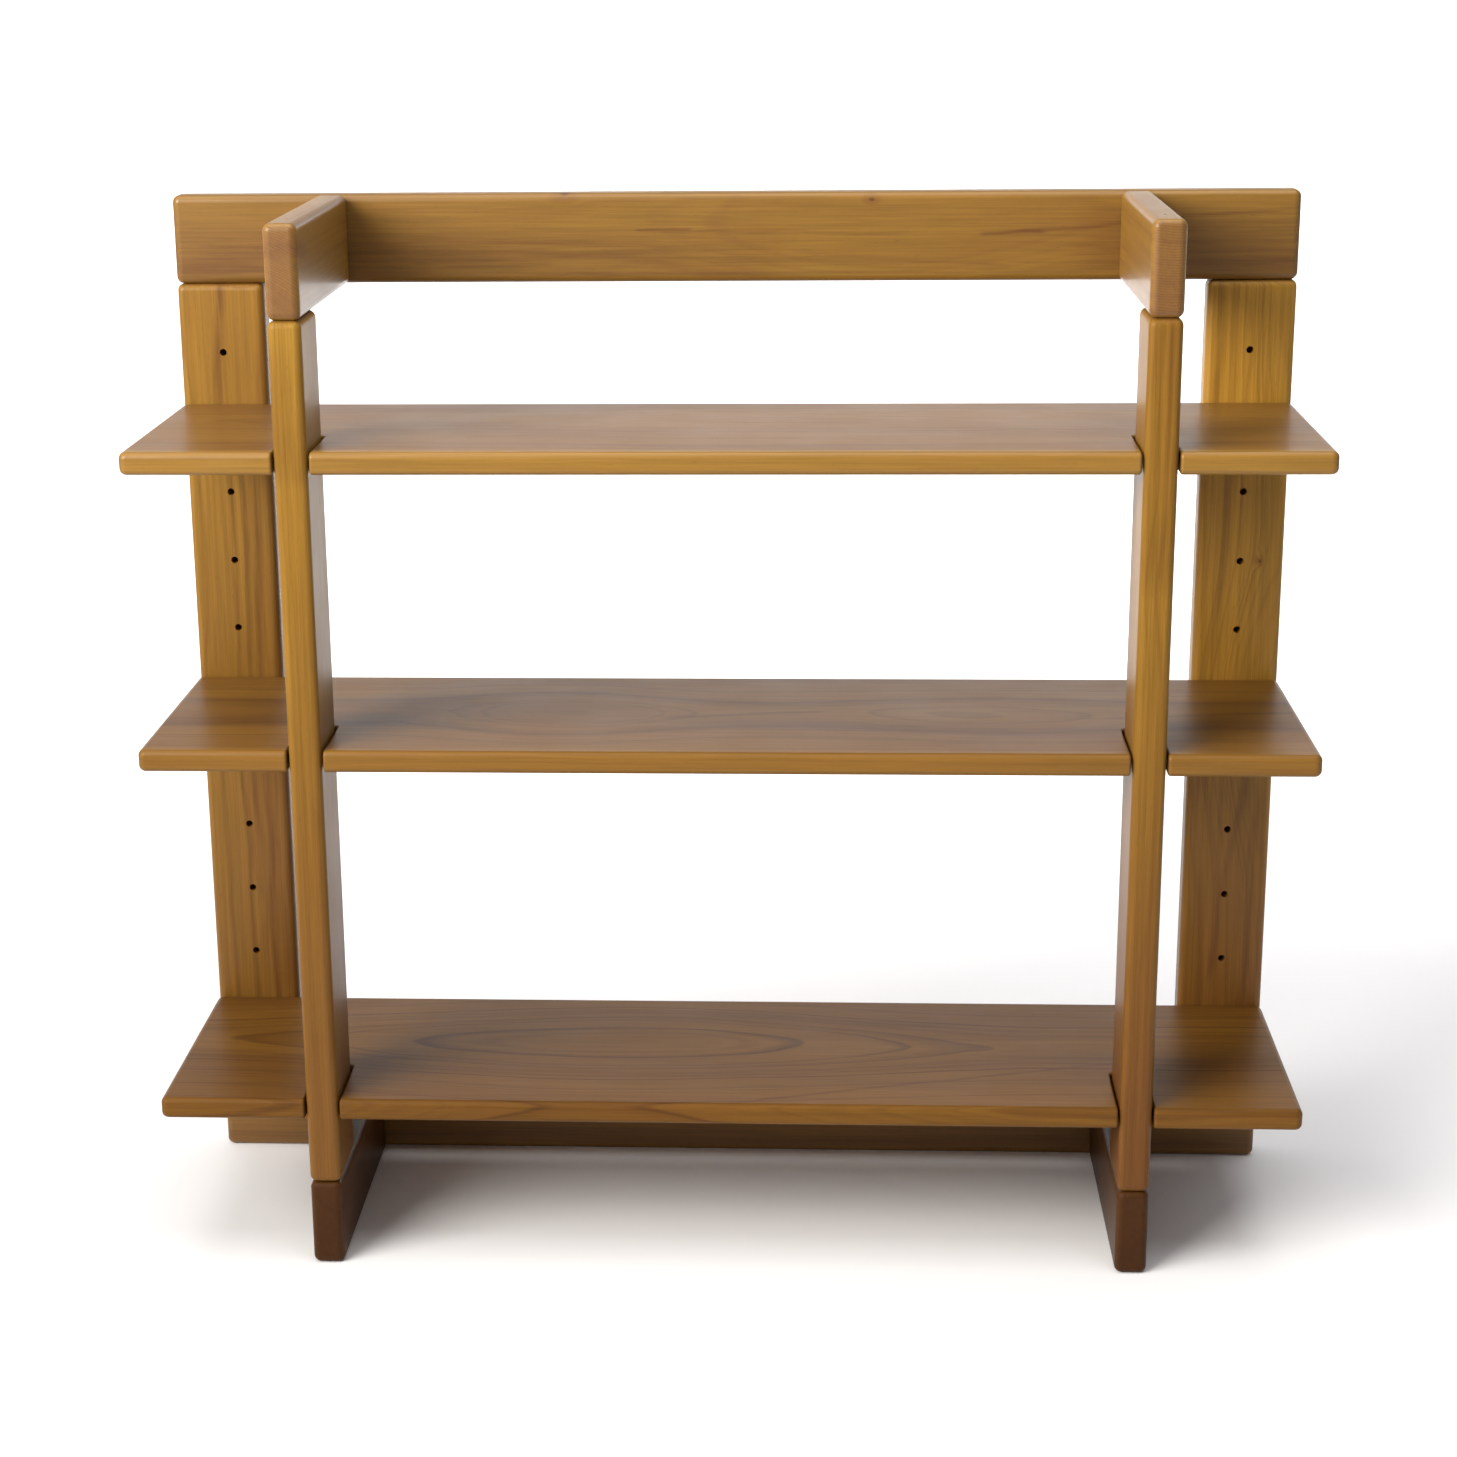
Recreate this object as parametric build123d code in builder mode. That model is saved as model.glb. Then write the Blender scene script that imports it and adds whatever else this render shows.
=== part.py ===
"""Open bookcase of solid boards with three height-adjustable shelves.

Millimetres, +Z up, front towards -Y. The origin is on the floor, in the middle of the
width and depth. Two rails and two uprights make the rear frame. On each side, a front
upright between two side rails stands forward of it. The shelves rest on round wooden
pins that plug into rows of holes in the four uprights, and slots in their front edges
let them pass the front uprights.
"""
import os

from build123d import *

# Overall size
WIDTH = 1250.0
DEPTH = 350.0
HEIGHT = 1150.0

# Boards of the frame
BOARD_WIDTH = 98.0
BOARD_THICKNESS = 35.0
BOARD_EDGE_RADIUS = 8.0
SIDE_RAIL_INSET = 162.0  # from the bookcase's end to a side rail's outer face

# Shelves
SHELF_THICKNESS = 24.0
SHELF_EDGE_RADIUS = 6.5
SHELF_CORNER_RADIUS = 8.0
SHELF_REAR_GAP = 1.0  # to the rear uprights, so that a shelf can be lifted
SLOT_SIDE_GAP = 2.0  # on each side of a front upright
SLOT_END_GAP = 3.0  # behind a front upright
SLOT_CORNER_RADIUS = 5.0
SLOT_EDGE_RADIUS = 3.0

# Holes and pins that carry the shelves
HOLE_DIAMETER = 8.0
HOLE_DEPTH = 22.0
HOLE_PITCH = 80.0
HOLE_END_MARGIN = 60.0  # least distance from an upright's end to its nearest hole
PIN_FIT = 0.05  # radial clearance of a pin in its hole
PIN_END_GAP = 1.0  # from a hole's bottom to its pin
PIN_REACH = 20.0  # how far a pin stands out of its hole
PIN_TRAVEL = 22.0  # how far a pin is drawn to leave its hole
PIN_CHAMFER = 0.8
GROOVE_GAP = 0.3  # radial clearance of a shelf's groove over its pin
GROOVE_END_GAP = 2.0  # past the tip of a pin that is drawn out
PIN_AXIS_HEIGHT = 2.0  # of a pin's axis above the underside of its shelf

# Rows of holes that the shelves use
BOTTOM_SHELF_ROW = 0  # counted up from the lowest row
MIDDLE_SHELF_ROW = 5
TOP_SHELF_ROW_DOWN = 1  # counted down from the highest row

# Dowels inside the joints
DOWEL_DIAMETER = 10.0
DOWEL_SPACING = 50.0
DOWEL_FIT = 0.05  # radial clearance of a dowel in its holes
DOWEL_END_GAP = 2.0  # at each end of a dowel
DOWEL_CHAMFER = 1.0
DOWEL_IN_GRAIN = 30.0  # length in a board's end or narrow edge
DOWEL_IN_FACE = 20.0  # length in a rear rail's broad face

# Small hole in the top of each top side rail, over its front upright
TOP_HOLE_DIAMETER = 4.0
TOP_HOLE_DEPTH = 12.0

# Places that follow from the sizes
FRONT_Y = -DEPTH / 2
REAR_Y = DEPTH / 2
REAR_FRAME_Y = REAR_Y - BOARD_THICKNESS  # front face of the rear frame
REAR_BOARD_Y = REAR_Y - BOARD_THICKNESS / 2
FRONT_UPRIGHT_Y = FRONT_Y + BOARD_WIDTH / 2
FRONT_UPRIGHT_BACK_Y = FRONT_Y + BOARD_WIDTH
SIDE_RAIL_LENGTH = DEPTH - BOARD_THICKNESS
SIDE_RAIL_Y = FRONT_Y + SIDE_RAIL_LENGTH / 2
REAR_UPRIGHT_X = (WIDTH - BOARD_WIDTH) / 2
SIDE_FRAME_X = WIDTH / 2 - SIDE_RAIL_INSET - BOARD_THICKNESS / 2
UPRIGHT_BOTTOM_Z = BOARD_WIDTH
UPRIGHT_TOP_Z = HEIGHT - BOARD_WIDTH
UPRIGHT_LENGTH = UPRIGHT_TOP_Z - UPRIGHT_BOTTOM_Z

# Hole rows, pins and grooves
HOLE_RADIUS = HOLE_DIAMETER / 2
HOLE_ROWS = int((UPRIGHT_LENGTH - 2 * HOLE_END_MARGIN) / HOLE_PITCH) + 1
LOWEST_HOLE_Z = UPRIGHT_BOTTOM_Z + (UPRIGHT_LENGTH - (HOLE_ROWS - 1) * HOLE_PITCH) / 2
PIN_RADIUS = HOLE_RADIUS - PIN_FIT
PIN_INSERTED = HOLE_DEPTH - PIN_END_GAP
PIN_LENGTH = PIN_INSERTED + PIN_REACH
GROOVE_RADIUS = PIN_RADIUS + GROOVE_GAP
GROOVE_REACH = PIN_REACH + PIN_TRAVEL + GROOVE_END_GAP  # from the upright's face
GROOVE_DROP = PIN_AXIS_HEIGHT + GROOVE_RADIUS  # from the pin's axis past the shelf's underside

# Dowel holes
DOWEL_RADIUS = DOWEL_DIAMETER / 2
DOWEL_HOLE_RADIUS = DOWEL_RADIUS + DOWEL_FIT
GRAIN_HOLE_DEPTH = DOWEL_IN_GRAIN + DOWEL_END_GAP
FACE_HOLE_DEPTH = DOWEL_IN_FACE + DOWEL_END_GAP
DOWEL_OFFSETS = (-DOWEL_SPACING / 2, DOWEL_SPACING / 2)

SIDES = {"left": -1, "right": 1}
RAIL_BOTTOMS = {"bottom": 0.0, "top": UPRIGHT_TOP_Z}
SHELF_ROWS = {
    "bottom_shelf": BOTTOM_SHELF_ROW,
    "middle_shelf": MIDDLE_SHELF_ROW,
    "top_shelf": HOLE_ROWS - 1 - TOP_SHELF_ROW_DOWN,
}


def row_z(row):
    """Height of a row of pin holes."""
    return LOWEST_HOLE_Z + row * HOLE_PITCH


def up(x, y, z):
    """Plane that faces up."""
    return Plane(origin=(x, y, z), x_dir=(1, 0, 0), z_dir=(0, 0, 1))


def down(x, y, z):
    """Plane that faces down."""
    return Plane(origin=(x, y, z), x_dir=(1, 0, 0), z_dir=(0, 0, -1))


def rearward(x, y, z):
    """Plane that faces the rear, with its own Y upwards."""
    return Plane(origin=(x, y, z), x_dir=(-1, 0, 0), z_dir=(0, 1, 0))


def forward(x, y, z):
    """Plane that faces the front, with its own Y upwards."""
    return Plane(origin=(x, y, z), x_dir=(1, 0, 0), z_dir=(0, -1, 0))


def rounded_board(size_x, size_y, size_z, base):
    """Board on a base plane, rounded on every edge, in the open part."""
    with BuildSketch(base) as section:
        Rectangle(size_x, size_y)
    extrude(section.sketch, amount=size_z)
    fillet(edges(), BOARD_EDGE_RADIUS)


def drill(plane, centres, radius, depth):
    """Blind holes bored into the open part along a plane's normal."""
    with BuildSketch(plane) as holes:
        with Locations(*centres):
            Circle(radius)
    extrude(holes.sketch, amount=depth, mode=Mode.SUBTRACT)


def drill_for_dowels(plane, centres):
    """Dowel holes bored into the end or the narrow edge of the open part."""
    drill(plane, centres, DOWEL_HOLE_RADIUS, GRAIN_HOLE_DEPTH)


def rods(plane, centres, radius, length, end_chamfer):
    """Round rods with chamfered ends, in the open part."""
    with BuildSketch(plane) as ends:
        with Locations(*centres):
            Circle(radius)
    extrude(ends.sketch, amount=length)
    chamfer(edges(Select.LAST).filter_by(GeomType.CIRCLE), end_chamfer)


def save(part, name):
    """Labels a finished piece and writes it."""
    part.label = name
    export_step(part, f"parts/{name}.step")


os.makedirs("parts", exist_ok=True)

across = [(offset, 0) for offset in DOWEL_OFFSETS]
along = [(0, offset) for offset in DOWEL_OFFSETS]

# Rear rails: full-width boards on edge, one at the floor and one at the top
for level, low in RAIL_BOTTOMS.items():
    with BuildPart() as rear_rail:
        rounded_board(WIDTH, BOARD_THICKNESS, BOARD_WIDTH, up(0, REAR_BOARD_Y, low))
        for side in SIDES.values():
            if level == "bottom":
                joint = down(side * REAR_UPRIGHT_X, REAR_BOARD_Y, low + BOARD_WIDTH)
            else:
                joint = up(side * REAR_UPRIGHT_X, REAR_BOARD_Y, low)
            drill_for_dowels(joint, across)
            face = rearward(side * SIDE_FRAME_X, REAR_FRAME_Y, low + BOARD_WIDTH / 2)
            drill(face, along, DOWEL_HOLE_RADIUS, FACE_HOLE_DEPTH)
    save(rear_rail.part, f"rear_{level}_rail")

# Side rails: boards on edge from the front to the rear rails
for level, low in RAIL_BOTTOMS.items():
    for side_name, side in SIDES.items():
        x = side * SIDE_FRAME_X
        with BuildPart() as side_rail:
            rounded_board(BOARD_THICKNESS, SIDE_RAIL_LENGTH, BOARD_WIDTH, up(x, SIDE_RAIL_Y, low))
            if level == "bottom":
                drill_for_dowels(down(x, FRONT_UPRIGHT_Y, low + BOARD_WIDTH), along)
            else:
                drill_for_dowels(up(x, FRONT_UPRIGHT_Y, low), along)
                drill(down(x, FRONT_UPRIGHT_Y, HEIGHT), [(0, 0)], TOP_HOLE_DIAMETER / 2, TOP_HOLE_DEPTH)
            drill_for_dowels(forward(x, REAR_FRAME_Y, low + BOARD_WIDTH / 2), along)
        save(side_rail.part, f"{side_name}_{level}_side_rail")

# Uprights: the rear ones stand flat in the rear frame, the front ones edge-on, and each
# has one row of pin holes towards the shelves
hole_centres = [(0, row_z(row)) for row in range(HOLE_ROWS)]
for side_name, side in SIDES.items():
    x = side * REAR_UPRIGHT_X
    with BuildPart() as rear_upright:
        base = up(x, REAR_BOARD_Y, UPRIGHT_BOTTOM_Z)
        rounded_board(BOARD_WIDTH, BOARD_THICKNESS, UPRIGHT_LENGTH, base)
        drill_for_dowels(base, across)
        drill_for_dowels(down(x, REAR_BOARD_Y, UPRIGHT_TOP_Z), across)
        drill(rearward(x, REAR_FRAME_Y, 0), hole_centres, HOLE_RADIUS, HOLE_DEPTH)
    save(rear_upright.part, f"{side_name}_rear_upright")

    x = side * SIDE_FRAME_X
    with BuildPart() as front_upright:
        base = up(x, FRONT_UPRIGHT_Y, UPRIGHT_BOTTOM_Z)
        rounded_board(BOARD_THICKNESS, BOARD_WIDTH, UPRIGHT_LENGTH, base)
        drill_for_dowels(base, along)
        drill_for_dowels(down(x, FRONT_UPRIGHT_Y, UPRIGHT_TOP_Z), along)
        drill(forward(x, FRONT_UPRIGHT_BACK_Y, 0), hole_centres, HOLE_RADIUS, HOLE_DEPTH)
    save(front_upright.part, f"{side_name}_front_upright")

# Shelves: full-width boards with slots around the front uprights, and stopped grooves
# underneath that sit over the pins
SHELF_REAR_Y = REAR_FRAME_Y - SHELF_REAR_GAP
SHELF_DEPTH = SHELF_REAR_Y - FRONT_Y
SLOT_WIDTH = BOARD_THICKNESS + 2 * SLOT_SIDE_GAP
SLOT_DEPTH = BOARD_WIDTH + SLOT_END_GAP
for shelf_name, row in SHELF_ROWS.items():
    underside = row_z(row) - PIN_AXIS_HEIGHT
    with BuildPart() as shelf:
        with BuildSketch(Plane.XY.offset(underside)) as outline:
            with Locations((0, FRONT_Y)):
                Rectangle(WIDTH, SHELF_DEPTH, align=(Align.CENTER, Align.MIN))
            fillet(outline.vertices(), SHELF_CORNER_RADIUS)
        extrude(amount=SHELF_THICKNESS)
        fillet(shelf.faces().filter_by(Plane.XY).edges(), SHELF_EDGE_RADIUS)

        for side in SIDES.values():
            with BuildSketch(Plane.XY.offset(underside)) as slot:
                with Locations((side * SIDE_FRAME_X, FRONT_Y - SLOT_WIDTH)):
                    Rectangle(SLOT_WIDTH, SLOT_WIDTH + SLOT_DEPTH, align=(Align.CENTER, Align.MIN))
                fillet(slot.vertices().group_by(Axis.Y)[-1], SLOT_CORNER_RADIUS)
            extrude(slot.sketch, amount=SHELF_THICKNESS, mode=Mode.SUBTRACT)
            slot_edges = shelf.edges(Select.LAST)
            inner_seams = slot_edges.filter_by(Axis.Z).sort_by(Axis.Y)[2:]
            fillet(slot_edges - inner_seams, SLOT_EDGE_RADIUS)

        # Each groove is a half-round slot, straight-sided below the pin's axis
        for side in SIDES.values():
            front_start = rearward(side * SIDE_FRAME_X, FRONT_UPRIGHT_BACK_Y, row_z(row))
            rear_start = forward(side * REAR_UPRIGHT_X, REAR_FRAME_Y, row_z(row))
            for start in (front_start, rear_start):
                with BuildSketch(start) as groove:
                    Circle(GROOVE_RADIUS)
                    Rectangle(2 * GROOVE_RADIUS, GROOVE_DROP, align=(Align.CENTER, Align.MAX))
                extrude(groove.sketch, amount=GROOVE_REACH, mode=Mode.SUBTRACT)
    save(shelf.part, shelf_name)

# Shelf pins: one at each upright under each shelf
for shelf_name, row in SHELF_ROWS.items():
    for side_name, side in SIDES.items():
        with BuildPart() as rear_pin:
            inner_end = forward(side * REAR_UPRIGHT_X, REAR_FRAME_Y + PIN_INSERTED, row_z(row))
            rods(inner_end, [(0, 0)], PIN_RADIUS, PIN_LENGTH, PIN_CHAMFER)
        save(rear_pin.part, f"{shelf_name}_{side_name}_rear_pin")
        with BuildPart() as front_pin:
            inner_end = rearward(side * SIDE_FRAME_X, FRONT_UPRIGHT_BACK_Y - PIN_INSERTED, row_z(row))
            rods(inner_end, [(0, 0)], PIN_RADIUS, PIN_LENGTH, PIN_CHAMFER)
        save(front_pin.part, f"{shelf_name}_{side_name}_front_pin")

# Dowels: two in each joint, hidden inside the boards
with BuildPart() as rear_upright_dowels:
    for joint_z in (UPRIGHT_BOTTOM_Z, UPRIGHT_TOP_Z):
        for side in SIDES.values():
            base = up(side * REAR_UPRIGHT_X, REAR_BOARD_Y, joint_z - DOWEL_IN_GRAIN)
            rods(base, across, DOWEL_RADIUS, 2 * DOWEL_IN_GRAIN, DOWEL_CHAMFER)
save(rear_upright_dowels.part, "rear_upright_dowels")

with BuildPart() as front_upright_dowels:
    for joint_z in (UPRIGHT_BOTTOM_Z, UPRIGHT_TOP_Z):
        for side in SIDES.values():
            base = up(side * SIDE_FRAME_X, FRONT_UPRIGHT_Y, joint_z - DOWEL_IN_GRAIN)
            rods(base, along, DOWEL_RADIUS, 2 * DOWEL_IN_GRAIN, DOWEL_CHAMFER)
save(front_upright_dowels.part, "front_upright_dowels")

with BuildPart() as side_rail_dowels:
    for low in RAIL_BOTTOMS.values():
        for side in SIDES.values():
            base = rearward(side * SIDE_FRAME_X, REAR_FRAME_Y - DOWEL_IN_GRAIN, low + BOARD_WIDTH / 2)
            rods(base, along, DOWEL_RADIUS, DOWEL_IN_GRAIN + DOWEL_IN_FACE, DOWEL_CHAMFER)
save(side_rail_dowels.part, "side_rail_dowels")
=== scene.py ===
"""Looks of a bookcase of lacquered solid boards: wood, floor, light and camera. Metres.

Every board is cut from its own piece of wood: a solid texture of growth rings around a
pith line, so that the figure runs through a board from its faces to its end grain.
"""
import math
from dataclasses import dataclass, field

import bpy
from mathutils import Matrix, Vector


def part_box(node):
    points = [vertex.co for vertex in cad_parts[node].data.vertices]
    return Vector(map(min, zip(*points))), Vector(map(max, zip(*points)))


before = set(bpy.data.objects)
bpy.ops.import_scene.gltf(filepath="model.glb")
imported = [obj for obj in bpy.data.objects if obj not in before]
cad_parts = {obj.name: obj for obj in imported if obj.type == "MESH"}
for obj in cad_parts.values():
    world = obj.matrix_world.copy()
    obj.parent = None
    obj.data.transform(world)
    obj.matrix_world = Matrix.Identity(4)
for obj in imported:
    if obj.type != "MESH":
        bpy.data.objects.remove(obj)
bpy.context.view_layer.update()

# Wood colours, as linear RGB
# Painted light: a brighter gold that lifts a board out of the shade the lamps leave on it
PAINTED_LIGHT_GOLD = (0.400, 0.200, 0.024, 1.0)
PALE_GOLD = (0.310, 0.166, 0.024, 1.0)
GOLD = (0.262, 0.133, 0.017, 1.0)
HONEY = (0.210, 0.098, 0.014, 1.0)
HEARTWOOD = (0.128, 0.046, 0.011, 1.0)
DARK_LINE = (0.080, 0.024, 0.006, 1.0)
STRAW = (0.236, 0.122, 0.015, 1.0)
TOFFEE = (0.192, 0.091, 0.013, 1.0)
AMBER = (0.200, 0.093, 0.013, 1.0)
CHESTNUT = (0.155, 0.066, 0.011, 1.0)
UMBER = (0.085, 0.031, 0.008, 1.0)
# Darker colours, from WALNUT to PEAT, for painted shade on the low boards near the floor
WALNUT = (0.180, 0.080, 0.012, 1.0)
TAN = (0.135, 0.056, 0.010, 1.0)
SEPIA = (0.068, 0.025, 0.007, 1.0)
BARK = (0.075, 0.029, 0.006, 1.0)
COCOA = (0.056, 0.021, 0.005, 1.0)
PEAT = (0.030, 0.011, 0.004, 1.0)
BEECH = (0.300, 0.185, 0.085, 1.0)

# Backdrop colours: the pale one, and a grey that paints shade on the wall's upper part
PALE = (0.93, 0.93, 0.94, 1.0)
WALL_SHADE_GREY = (0.33, 0.33, 0.34, 1.0)

# How strongly each feature shows in the wood's colour, from 0 to 1
KNOT_HALO = 0.35
KNOT_CORE = 0.75
PORES = 0.35
END_GRAIN = 0.48
END_RINGS = 0.32
WORN_EDGES = 0.18

# Fine rings on the end grain, per metre
END_RING_COUNT = 380.0

# Heights from an upright's middle where its painted shade starts to deepen the colour and is deepest
FOOT_SHADE_START, FOOT_SHADE_END = 0.30, -0.48

# Distances along the grain count this much around a knot, which draws it out that way
KNOT_SQUASH = 0.6

# For each cut, the frame axes along the grain, across it on the broad face, and through the board
GRAIN_AXES = {
    "rail": ("X", "Z", "Y"),
    "side_rail": ("Y", "Z", "X"),
    "rear_upright": ("Z", "X", "Y"),
    "front_upright": ("Z", "Y", "X"),
    "shelf": ("X", "Y", "Z"),
}

# The sockets of a mix node that is set to colours
MIX_A, MIX_B, MIX_RESULT = 6, 7, 2


@dataclass
class Wood:
    """How one piece of wood is cut and what its figure looks like. Lengths are from the piece's middle."""

    cut: str  # which of GRAIN_AXES it follows
    pith: tuple  # across and through, to the middle of the tree
    seed: float
    light: tuple = GOLD
    middle: tuple = HONEY
    dark: tuple = HEARTWOOD
    ring_width: float = 0.0060
    ring_strength: float = 0.28
    wander: float = 0.016  # how far the pith strays from straight
    band_strength: float = 0.45
    # Painted shade: the colour deepens towards an upright's low end, where less light reaches
    painted_foot_shade: float = 0.0  # how much the colour deepens towards the low end
    coat: float = 0.15
    refraction: float = 1.42
    # The paler strip on one side is partly sapwood and partly painted highlight along a shelf's front edge
    sapwood_and_highlight: tuple = ()  # the distance across up to which it has a colour, and that colour
    loops: list = field(default_factory=list)  # closed figure: (along, half length, rise)
    streaks: list = field(default_factory=list)  # (along, across, along, across, half width, strength)
    knots: list = field(default_factory=list)  # (along, across, radius)


class Nodes:
    """Adds linked nodes to one node tree."""

    def __init__(self, tree):
        self.tree = tree

    def add(self, kind, inputs=None, **settings):
        node = self.tree.nodes.new(kind)
        for name, value in settings.items():
            setattr(node, name, value)
        for name, value in (inputs or {}).items():
            self.set(node.inputs[name], value)
        return node

    def set(self, socket, value):
        if isinstance(value, bpy.types.NodeSocket):
            self.tree.links.new(value, socket)
        else:
            socket.default_value = value

    def math(self, operation, a, b=0.0, c=0.0):
        return self.add("ShaderNodeMath", {0: a, 1: b, 2: c}, operation=operation).outputs[0]

    def total(self, *values):
        result = values[0]
        for value in values[1:]:
            result = self.math("ADD", result, value)
        return result

    def product(self, *values):
        result = values[0]
        for value in values[1:]:
            result = self.math("MULTIPLY", result, value)
        return result

    def centred(self, value, size):
        """A noise of 0 to 1 turned into one of plus or minus half a size."""
        return self.math("MULTIPLY_ADD", value, size, -0.5 * size)

    def smooth(self, value, low, high, to_low=0.0, to_high=1.0):
        """Smooth step from to_low, at low, to to_high, at high."""
        inputs = {"Value": value, "From Min": low, "From Max": high, "To Min": to_low, "To Max": to_high}
        return self.add("ShaderNodeMapRange", inputs, interpolation_type="SMOOTHSTEP").outputs["Result"]

    def mix(self, factor, a, b, blend="MIX"):
        node = self.add("ShaderNodeMix", data_type="RGBA", blend_type=blend)
        self.set(node.inputs["Factor"], factor)
        self.set(node.inputs[MIX_A], a)
        self.set(node.inputs[MIX_B], b)
        return node.outputs[MIX_RESULT]

    def vector(self, x, y, z=0.0):
        return self.add("ShaderNodeCombineXYZ", {"X": x, "Y": y, "Z": z}).outputs[0]

    def vector_math(self, operation, *vectors, output="Vector"):
        node = self.add("ShaderNodeVectorMath", dict(enumerate(vectors)), operation=operation)
        return node.outputs[output]

    def noise(self, vector, detail=2.0, roughness=0.5):
        """Noise of about 0 to 1, with a mean of a half."""
        inputs = {"Vector": vector, "Scale": 1.0, "Detail": detail, "Roughness": roughness}
        return self.add("ShaderNodeTexNoise", inputs).outputs[0]

    def noise_along(self, value, scale, detail=2.0):
        """Noise that changes with one number only."""
        inputs = {"W": value, "Scale": scale, "Detail": detail}
        return self.add("ShaderNodeTexNoise", inputs, noise_dimensions="1D").outputs[0]

    def away_from_line(self, point, start, end):
        """Distance from a point to a straight piece of a line, and 0 to 1 from its ends to its middle."""
        line = Vector((end[0] - start[0], end[1] - start[1], 0.0))
        from_start = self.vector_math("SUBTRACT", point, (*start, 0.0))
        share = self.vector_math("DOT_PRODUCT", from_start, line / line.length_squared, output="Value")
        share = self.add("ShaderNodeClamp", {"Value": share}).outputs[0]
        rest = self.vector_math("MULTIPLY_ADD", share, -line, from_start)
        taper = self.smooth(self.math("MULTIPLY", share, self.math("SUBTRACT", 1.0, share)), 0.0, 0.12)
        return self.vector_math("LENGTH", rest, output="Value"), taper


class WoodNodes(Nodes):
    """Nodes for one piece of wood, with its coordinates along, across and through the grain."""

    def __init__(self, tree, wood, low, high):
        super().__init__(tree)
        self.wood = wood
        self.half = (high - low) / 2
        centre = (low + high) / 2
        coordinates = self.add("ShaderNodeTexCoord")
        place = self.add("ShaderNodeSeparateXYZ", {0: coordinates.outputs["Object"]})
        self.offset = {
            axis: self.math("SUBTRACT", place.outputs[axis], centre[i]) for i, axis in enumerate("XYZ")
        }
        along_axis, across_axis, through_axis = GRAIN_AXES[wood.cut]
        self.along = self.offset[along_axis]
        self.across = self.offset[across_axis]
        self.through = self.offset[through_axis]
        normal = self.add("ShaderNodeSeparateXYZ", {0: coordinates.outputs["Normal"]})
        self.facing_along = self.math("ABSOLUTE", normal.outputs[along_axis])

    def grain_noise(self, fine_across, fine_along, shift=0.0, detail=2.0, roughness=0.5):
        """Noise with so many cycles per metre across and along the grain. Each shift gives a new one."""
        stretched = self.vector(
            self.math("MULTIPLY", self.across, fine_across),
            self.math("MULTIPLY", self.through, fine_across),
            self.math("MULTIPLY_ADD", self.along, fine_along, self.wood.seed + shift),
        )
        return self.noise(stretched, detail, roughness)

    def knots(self):
        """Core and halo of the knots, and how far they push the rings around them aside."""
        cores, halos, push = 0.0, 0.0, 0.0
        face_point = self.vector(self.along, self.across)
        for knot_along, knot_across, knot_radius in self.wood.knots:
            from_knot = self.vector_math("SUBTRACT", face_point, (knot_along, knot_across, 0.0))
            drawn_out = self.vector_math("MULTIPLY", from_knot, (KNOT_SQUASH, 1.0, 1.0))
            distance = self.vector_math("LENGTH", drawn_out, output="Value")
            core = self.smooth(distance, 0.3 * knot_radius, knot_radius, 1.0, 0.0)
            halo = self.smooth(distance, knot_radius, 3.0 * knot_radius, 1.0, 0.0)
            bulge = self.smooth(distance, 0.0, 5.0 * knot_radius, 1.5 * knot_radius, 0.0)
            cores = self.math("MAXIMUM", core, cores)
            halos = self.math("MAXIMUM", halo, halos)
            push = self.math("ADD", bulge, push)
        return cores, halos, push

    def ring_radius(self, knot_push):
        """Distance from a pith line that strays slowly, with a small waviness."""
        wood = self.wood
        stray_across = self.centred(self.grain_noise(2.0, 1.6, 0.0, 1.0), 2 * wood.wander)
        stray_through = self.centred(self.grain_noise(2.0, 1.6, 7.0, 1.0), 2 * wood.wander)
        wave = self.centred(self.grain_noise(20.0, 5.0, 3.0), 0.007)
        from_pith = self.vector(
            self.total(self.across, -wood.pith[0], stray_across),
            self.total(self.through, -wood.pith[1], stray_through),
        )
        distance = self.vector_math("LENGTH", from_pith, output="Value")
        radius = self.total(distance, wave, knot_push)
        for loop_along, loop_half, loop_rise in wood.loops:
            from_loop = self.math("ABSOLUTE", self.math("SUBTRACT", self.along, loop_along))
            radius = self.math("SUBTRACT", radius, self.smooth(from_loop, 0.0, loop_half, loop_rise, 0.0))
        return radius

    def latewood(self, radius):
        """Each ring darkens slowly into latewood and ends sharply. Its width and depth vary."""
        wood = self.wood
        uneven = self.product(self.noise_along(self.math("ADD", radius, wood.seed), 45.0), 4.0)
        phase = self.math("FRACT", self.math("MULTIPLY_ADD", radius, 1.0 / wood.ring_width, uneven))
        rise = self.smooth(phase, 0.20, 0.88)
        fall = self.smooth(phase, 0.90, 1.00, 1.0, 0.0)
        depth_noise = self.noise_along(self.math("ADD", radius, wood.seed + 5.0), 110.0)
        depth = self.smooth(depth_noise, 0.40, 0.72, 0.10, 1.0)
        return self.product(rise, fall, depth)

    def heartwood(self, radius, cloud):
        """Bands of deeper colour that follow the rings."""
        band_noise = self.noise_along(self.math("ADD", radius, self.wood.seed + 11.0), 30.0, 3.0)
        band_value = self.math("ADD", self.product(band_noise, 0.7), self.product(cloud, 0.3))
        return self.product(self.smooth(band_value, 0.50, 0.72), self.wood.band_strength)

    def with_sapwood_and_highlight(self, colour):
        """The colour with another one on one side of the board: partly sapwood, partly painted highlight.
        """
        sap_and_highlight_end, sap_and_highlight_colour = self.wood.sapwood_and_highlight
        uneven = self.centred(self.grain_noise(8.0, 2.5, 30.0), 0.012)
        boundary = self.math("ADD", self.across, uneven)
        sap_and_highlight = self.smooth(boundary, sap_and_highlight_end - 0.003, sap_and_highlight_end + 0.004, 0.85, 0.0)
        return self.mix(sap_and_highlight, colour, sap_and_highlight_colour)

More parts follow.
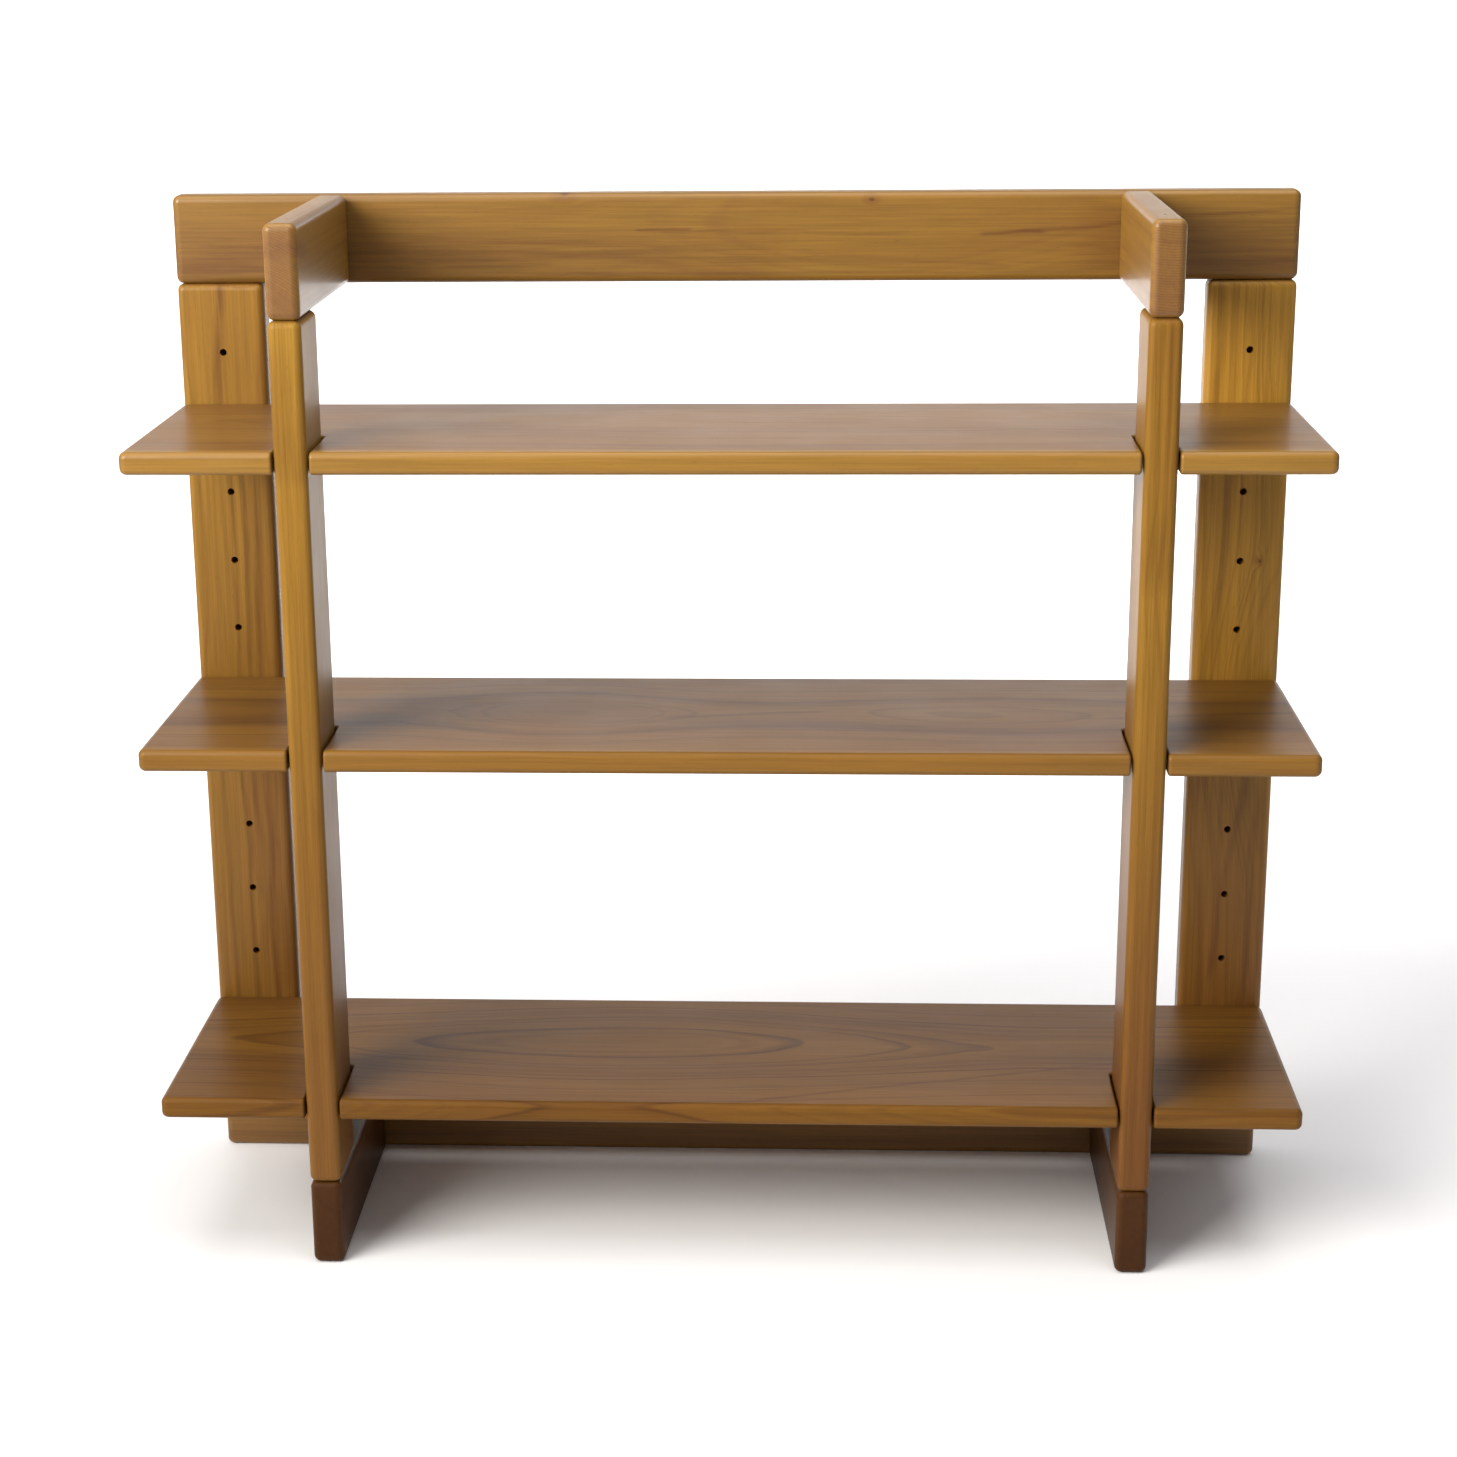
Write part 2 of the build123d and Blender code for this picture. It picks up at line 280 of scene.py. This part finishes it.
    def with_streaks(self, colour):
        """The colour with dark streaks, which sway a little and are feathered by the fibres. Some broad
        ones are partly painted shade.
        """
        sway = self.centred(self.grain_noise(9.0, 7.0, 20.0, 3.0), 0.018)
        point = self.vector(self.along, self.math("ADD", self.across, sway))
        feather = self.smooth(self.grain_noise(160.0, 9.0, 21.0, 3.0, 0.6), 0.30, 0.68, 0.40, 1.0)
        for start_along, start_across, end_along, end_across, half_width, strength in self.wood.streaks:
            start, end = (start_along, start_across), (end_along, end_across)
            away, taper = self.away_from_line(point, start, end)
            streak = self.smooth(away, 0.0, half_width, strength, 0.0)
            colour = self.mix(self.product(streak, feather, taper), colour, DARK_LINE)
        return colour

    def worn_edges(self):
        """1 along the edges, where the second smallest distance to the piece's faces is small."""
        gap_x, gap_y, gap_z = (
            self.math("SUBTRACT", self.half[i], self.math("ABSOLUTE", self.offset[axis]))
            for i, axis in enumerate("XYZ")
        )
        nearer = self.math("MINIMUM", gap_x, gap_y)
        farther = self.math("MAXIMUM", gap_x, gap_y)
        edge_distance = self.math("MAXIMUM", nearer, self.math("MINIMUM", farther, gap_z))
        uneven = self.centred(self.grain_noise(60.0, 25.0, 6.0, 3.0), 0.006)
        return self.smooth(self.math("ADD", edge_distance, uneven), 0.001, 0.006, 1.0, 0.0)


def wood_material(name, node, wood):
    """Material of one piece of wood, which lies where the CAD node is."""
    material = bpy.data.materials.new(name)
    material.use_nodes = True
    material.node_tree.nodes.clear()
    n = WoodNodes(material.node_tree, wood, *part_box(node))

    knot_core, knot_halo, knot_push = n.knots()
    radius = n.ring_radius(knot_push)
    latewood = n.latewood(radius)
    cloud = n.grain_noise(9.0, 1.3, 2.0, 3.0)
    fibre = n.grain_noise(1100.0, 14.0, 1.0, 3.0, 0.6)
    coarse_fibre = n.grain_noise(240.0, 3.5, 4.0, 4.0, 0.65)
    pores = n.smooth(n.grain_noise(1500.0, 90.0, 9.0, 1.0), 0.68, 0.78)

    colour = n.mix(n.smooth(cloud, 0.30, 0.75), wood.light, wood.middle)
    colour = n.mix(n.heartwood(radius, cloud), colour, wood.dark)
    colour = n.mix(n.product(latewood, wood.ring_strength), colour, wood.dark)
    # Painted shade: the colour deepens towards the low end, where less light reaches
    if wood.painted_foot_shade:
        colour = n.mix(n.smooth(n.along, FOOT_SHADE_START, FOOT_SHADE_END, 0.0, wood.painted_foot_shade), colour, wood.dark)
    # Partly sapwood and partly painted highlight: a paler strip along the shelves' front edges
    if wood.sapwood_and_highlight:
        colour = n.with_sapwood_and_highlight(colour)
    if wood.streaks:
        colour = n.with_streaks(colour)
    if wood.knots:
        colour = n.mix(n.product(knot_halo, KNOT_HALO), colour, wood.dark)
        colour = n.mix(n.product(knot_core, KNOT_CORE), colour, DARK_LINE)
    both_fibres = n.math("ADD", n.product(fibre, 0.45), n.product(coarse_fibre, 0.55))
    fibre_shade = n.smooth(both_fibres, 0.32, 0.68, 0.80, 1.14)
    colour = n.mix(1.0, colour, n.vector(fibre_shade, fibre_shade, fibre_shade), "MULTIPLY")
    colour = n.mix(n.product(pores, PORES), colour, DARK_LINE)

    # End grain drinks more finish and is darker, and its rings are finer
    end_grain = n.smooth(n.facing_along, 0.55, 0.95)
    colour = n.mix(n.product(end_grain, END_GRAIN), colour, wood.dark)
    fine_rings = n.smooth(n.math("FRACT", n.product(radius, END_RING_COUNT)), 0.3, 0.9)
    colour = n.mix(n.product(end_grain, fine_rings, END_RINGS), colour, DARK_LINE)

    # Edges are rubbed paler
    worn = n.worn_edges()
    colour = n.mix(n.product(worn, WORN_EDGES), colour, wood.light)

    smear = n.smooth(n.grain_noise(14.0, 9.0, 8.0, 4.0, 0.6), 0.3, 0.7, 0.37, 0.42)
    roughness = n.total(smear, n.product(end_grain, 0.12), n.product(worn, 0.05))
    height = n.total(n.product(fibre, 0.5), n.product(latewood, 0.25), n.product(pores, -0.8))
    bump = n.add("ShaderNodeBump", {"Strength": 0.12, "Distance": 0.0004, "Height": height})

    shader = n.add("ShaderNodeBsdfPrincipled", {
        "Base Color": colour, "Roughness": roughness, "Normal": bump.outputs[0],
        "IOR": wood.refraction, "Coat Weight": wood.coat, "Coat Roughness": 0.18,
    })
    n.add("ShaderNodeOutputMaterial", {"Surface": shader.outputs[0]})
    return material


# How each board was sawn, and darker colours for the low boards as painted shade
DEEPER = {"light": AMBER, "middle": CHESTNUT, "dark": UMBER}
# Painted shade: the bottom shelf darker, and the bottom side rails darker still, as the light near the
# floor is dimmer
PAINTED_SHADE_LOW = {"light": WALNUT, "middle": TAN, "dark": SEPIA}
PAINTED_SHADE_LOWEST = {"light": BARK, "middle": COCOA, "dark": PEAT, "coat": 0.0, "refraction": 1.20}
BOARDS = {
    "rear_top_rail": Wood(
        "rail", (0.020, 0.090), 1.0, light=STRAW, middle=TOFFEE, ring_strength=0.30,
        loops=[(0.16, 0.30, 0.012)],
        # The broad streaks are partly heartwood and partly painted shade where the side rails' shadows
        # fall on the rail
        streaks=[
            (-0.80, -0.036, -0.46, -0.034, 0.012, 0.42),
            (-0.66, -0.020, 0.10, -0.028, 0.050, 0.34),
            (-0.11, 0.008, -0.04, 0.009, 0.003, 0.62),
            (-0.12, 0.006, 0.22, 0.004, 0.003, 0.28),
            (0.27, 0.002, 0.35, 0.006, 0.004, 0.62),
            (0.30, 0.004, 0.68, 0.036, 0.004, 0.48),
            (0.06, -0.014, 0.32, -0.032, 0.004, 0.26),
            (-0.24, -0.040, 0.06, -0.042, 0.004, 0.42),
            (0.30, -0.040, 0.70, -0.030, 0.016, 0.24),
            (0.36, -0.010, 0.86, -0.020, 0.080, 0.42),
            (-0.86, -0.010, -0.02, -0.024, 0.060, 0.26),
        ],
        knots=[(-0.185, 0.049, 0.004), (0.155, 0.041, 0.003)],
    ),
    "rear_bottom_rail": Wood("rail", (0.070, 0.040), 2.0, light=HONEY, middle=AMBER, dark=UMBER),
    "left_top_side_rail": Wood(
        "side_rail", (-0.090, -0.050), 3.0, coat=0.25,
        streaks=[(-0.17, 0.026, -0.10, 0.014, 0.014, 0.45)], knots=[(-0.150, 0.020, 0.002)],
    ),
    "right_top_side_rail": Wood("side_rail", (0.150, 0.010), 4.0, coat=0.25),
    "left_bottom_side_rail": Wood("side_rail", (0.090, 0.060), 5.0, **PAINTED_SHADE_LOWEST),
    "right_bottom_side_rail": Wood("side_rail", (-0.080, 0.070), 6.0, **PAINTED_SHADE_LOWEST),
    "left_rear_upright": Wood(
        "rear_upright", (0.020, 0.080), 7.0, ring_width=0.0045, ring_strength=0.36, painted_foot_shade=0.35,
        coat=0.02, refraction=1.32,
        streaks=[
            (0.56, 0.005, 0.26, -0.012, 0.009, 0.60),
            (0.34, 0.000, -0.56, -0.004, 0.006, 0.50),
            (0.34, 0.014, -0.20, 0.010, 0.006, 0.45),
            (0.30, 0.026, -0.56, 0.022, 0.007, 0.55),
            (0.00, -0.028, -0.56, -0.024, 0.005, 0.35),
            (0.50, 0.044, -0.50, 0.044, 0.010, 0.45),
        ],
    ),
    # Its lighter colours are painted light, lifting it where the side rail and front upright shade it
    "right_rear_upright": Wood(
        "rear_upright", (0.060, 0.060), 8.0, light=PAINTED_LIGHT_GOLD, middle=PALE_GOLD, ring_width=0.0045,
        ring_strength=0.40, painted_foot_shade=0.85, coat=0.02, refraction=1.32, loops=[(-0.02, 0.22, 0.016)],
        streaks=[
            (0.50, -0.034, 0.26, -0.036, 0.010, 0.40),
            (0.46, 0.000, 0.26, -0.002, 0.005, 0.25),
            (0.30, -0.014, -0.14, -0.036, 0.012, 0.30),
            (-0.08, 0.022, -0.36, -0.018, 0.008, 0.40),
            (-0.10, 0.036, -0.50, 0.018, 0.007, 0.42),
            (-0.20, -0.030, -0.50, -0.020, 0.007, 0.34),
        ],
        knots=[(0.16, 0.022, 0.002)],
    ),
    "left_front_upright": Wood(
        "front_upright", (0.010, -0.110), 9.0, light=PALE_GOLD, band_strength=0.20, ring_strength=0.18,
        painted_foot_shade=0.75, coat=0.03, refraction=1.22,
        streaks=[(0.46, -0.046, 0.30, -0.046, 0.008, 0.28)],
    ),
    "right_front_upright": Wood(
        "front_upright", (-0.020, 0.090), 10.0, band_strength=0.25, ring_strength=0.34, painted_foot_shade=0.90,
        coat=0.03, refraction=1.22, loops=[(0.20, 0.12, 0.010)],
        streaks=[(0.50, -0.050, 0.18, -0.048, 0.010, 0.32)],
    ),
    "top_shelf": Wood(
        "shelf", (0.040, -0.100), 11.0, **DEEPER, ring_strength=0.62, coat=0.10,
        sapwood_and_highlight=(-0.141, GOLD),
        loops=[(0.10, 0.45, 0.014)],
        streaks=[
            (-0.06, 0.064, 0.10, 0.056, 0.003, 0.80),
            (0.00, 0.030, 0.16, 0.020, 0.003, 0.75),
            (0.14, 0.066, 0.36, 0.050, 0.003, 0.80),
            (0.20, -0.004, 0.34, -0.016, 0.003, 0.70),
            (-0.34, 0.010, -0.20, -0.006, 0.003, 0.60),
            (0.02, 0.080, 0.26, 0.078, 0.003, 0.70),
        ],
    ),
    "middle_shelf": Wood(
        "shelf", (0.000, -0.090), 12.0, **DEEPER, ring_strength=0.62, coat=0.03, refraction=1.31,
        sapwood_and_highlight=(-0.143, HONEY),
        loops=[(-0.18, 0.20, 0.018), (0.30, 0.25, 0.010)],
        streaks=[
            (-0.08, -0.020, 0.12, 0.012, 0.008, 0.60),
            (0.40, -0.016, 0.66, 0.020, 0.009, 0.60),
            (-0.62, 0.050, -0.46, 0.030, 0.006, 0.50),
        ],
        knots=[(-0.36, -0.040, 0.003)],
    ),
    "bottom_shelf": Wood(
        "shelf", (0.020, -0.070), 13.0, **PAINTED_SHADE_LOW, ring_strength=0.85, band_strength=0.65,
        coat=0.0, refraction=1.20,
        loops=[(-0.14, 0.50, 0.034)],
        streaks=[(-0.02, -0.156, 0.50, -0.010, 0.005, 0.70)],
    ),
}

for board, wood in BOARDS.items():
    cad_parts[board].material_slots[0].material = wood_material("wood_" + board, board, wood)

# Pins and dowels are beech pegs, each with a seed from its name
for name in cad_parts:
    if name.endswith(("_pin", "_dowels")):
        cut = "side_rail" if name.endswith("_pin") or name.startswith("side") else "rear_upright"
        seed = 20.0 + sum(map(ord, name)) % 17
        peg = Wood(cut, (0.020, 0.030), seed, light=BEECH, middle=BEECH, dark=HONEY, ring_width=0.002)
        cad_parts[name].material_slots[0].material = wood_material("wood_" + name, name, peg)


def backdrop():
    """Pale floor that curves up into a wall, with painted shade that darkens the wall softly above the
    bookcase.
    """
    front, bend_start, bend_radius, steps = -9.0, 2.2, 1.0, 24
    side, wall_top = 8.0, 4.5
    wall_shade_start, wall_shade_end = 1.18, 1.70  # heights between which the wall darkens
    profile = [(front, 0.0), (bend_start, 0.0)]
    for step in range(1, steps + 1):
        angle = step / steps * math.pi / 2
        bend_height = bend_radius * (1 - math.cos(angle))
        profile.append((bend_start + bend_radius * math.sin(angle), bend_height))
    profile.append((bend_start + bend_radius, wall_top))
    vertices = [(x, y, z) for y, z in profile for x in (-side, side)]
    faces = [(2 * i, 2 * i + 1, 2 * i + 3, 2 * i + 2) for i in range(len(profile) - 1)]
    mesh = bpy.data.meshes.new("backdrop")
    mesh.from_pydata(vertices, [], faces)
    mesh.polygons.foreach_set("use_smooth", [True] * len(faces))
    sweep = bpy.data.objects.new("backdrop", mesh)
    bpy.context.collection.objects.link(sweep)
    material = bpy.data.materials.new("pale_floor")
    material.use_nodes = True
    shader = material.node_tree.nodes["Principled BSDF"]
    shader.inputs["Roughness"].default_value = 0.9
    n = Nodes(material.node_tree)
    place = n.add("ShaderNodeSeparateXYZ", {0: n.add("ShaderNodeNewGeometry").outputs["Position"]})
    # Painted shade: the wall's colour darkens with height
    colour = n.mix(n.smooth(place.outputs["Z"], wall_shade_start, wall_shade_end), PALE, WALL_SHADE_GREY)
    n.set(shader.inputs["Base Color"], colour)
    mesh.materials.append(material)


def aim(obj, place, target):
    """Puts an object somewhere, with its -Z pointing at a target."""
    obj.location = place
    obj.rotation_euler = (Vector(target) - Vector(place)).to_track_quat("-Z", "Y").to_euler()


def softbox(name, place, target, size, power, colour=(1.0, 1.0, 1.0), spread=180.0):
    """A rectangular light: power in watts, spread in degrees."""
    light = bpy.data.lights.new(name, "AREA")
    light.spread = math.radians(spread)
    light.shape = "RECTANGLE"
    light.size, light.size_y = size
    light.energy = power
    light.color = colour
    obj = bpy.data.objects.new(name, light)
    bpy.context.collection.objects.link(obj)
    aim(obj, place, target)


backdrop()
softbox(
    "window", place=(-2.4, -2.3, 2.6), target=(0.0, 0.0, 1.9), size=(2.6, 2.2),
    power=96.0, colour=(1.0, 0.97, 0.91), spread=95.0,
)
softbox(
    "ceiling", place=(0.0, -0.5, 5.0), target=(0.0, 0.0, 0.0), size=(4.0, 4.0),
    power=150.0, colour=(1.0, 0.99, 0.97),
)
softbox(
    "wall_wash", place=(0.0, 1.5, 3.0), target=(0.0, 3.0, 0.6), size=(5.0, 0.8),
    power=38.0, spread=100.0,
)

# Even light from all around
world = bpy.data.worlds.new("studio")
bpy.context.scene.world = world
world.use_nodes = True
background = world.node_tree.nodes["Background"]
background.inputs["Color"].default_value = (0.97, 0.97, 1.0, 1.0)
background.inputs["Strength"].default_value = 0.36

# Camera: the place, directions and lens that give the photograph's view of the bookcase
CAMERA_PLACE = Vector((0.1038, -3.0142, 1.4329))
CAMERA_HEADING = -0.0526  # radians from straight ahead, to the right
CAMERA_DIP = 0.2852  # radians below level
CAMERA_ROLL = -0.0102  # radians
SENSOR_WIDTH = 36.0  # mm, as is the focal length
FOCAL_LENGTH = 69.54
CAMERA_SHIFT = (0.0329, 0.0157)  # share of the frame's width

ahead = Vector((
    math.sin(CAMERA_HEADING) * math.cos(CAMERA_DIP),
    math.cos(CAMERA_HEADING) * math.cos(CAMERA_DIP),
    -math.sin(CAMERA_DIP),
))
level = Vector((math.cos(CAMERA_HEADING), -math.sin(CAMERA_HEADING), 0.0))
above = level.cross(ahead)
right = level * math.cos(CAMERA_ROLL) + above * math.sin(CAMERA_ROLL)
top = above * math.cos(CAMERA_ROLL) - level * math.sin(CAMERA_ROLL)
camera_data = bpy.data.cameras.new("camera")
camera_data.sensor_width = SENSOR_WIDTH
camera_data.lens = FOCAL_LENGTH
camera_data.shift_x, camera_data.shift_y = CAMERA_SHIFT
camera = bpy.data.objects.new("camera", camera_data)
bpy.context.collection.objects.link(camera)
camera.matrix_world = Matrix.Translation(CAMERA_PLACE) @ Matrix((right, top, -ahead)).transposed().to_4x4()
bpy.context.scene.camera = camera
bpy.context.scene.view_settings.view_transform = "Standard"
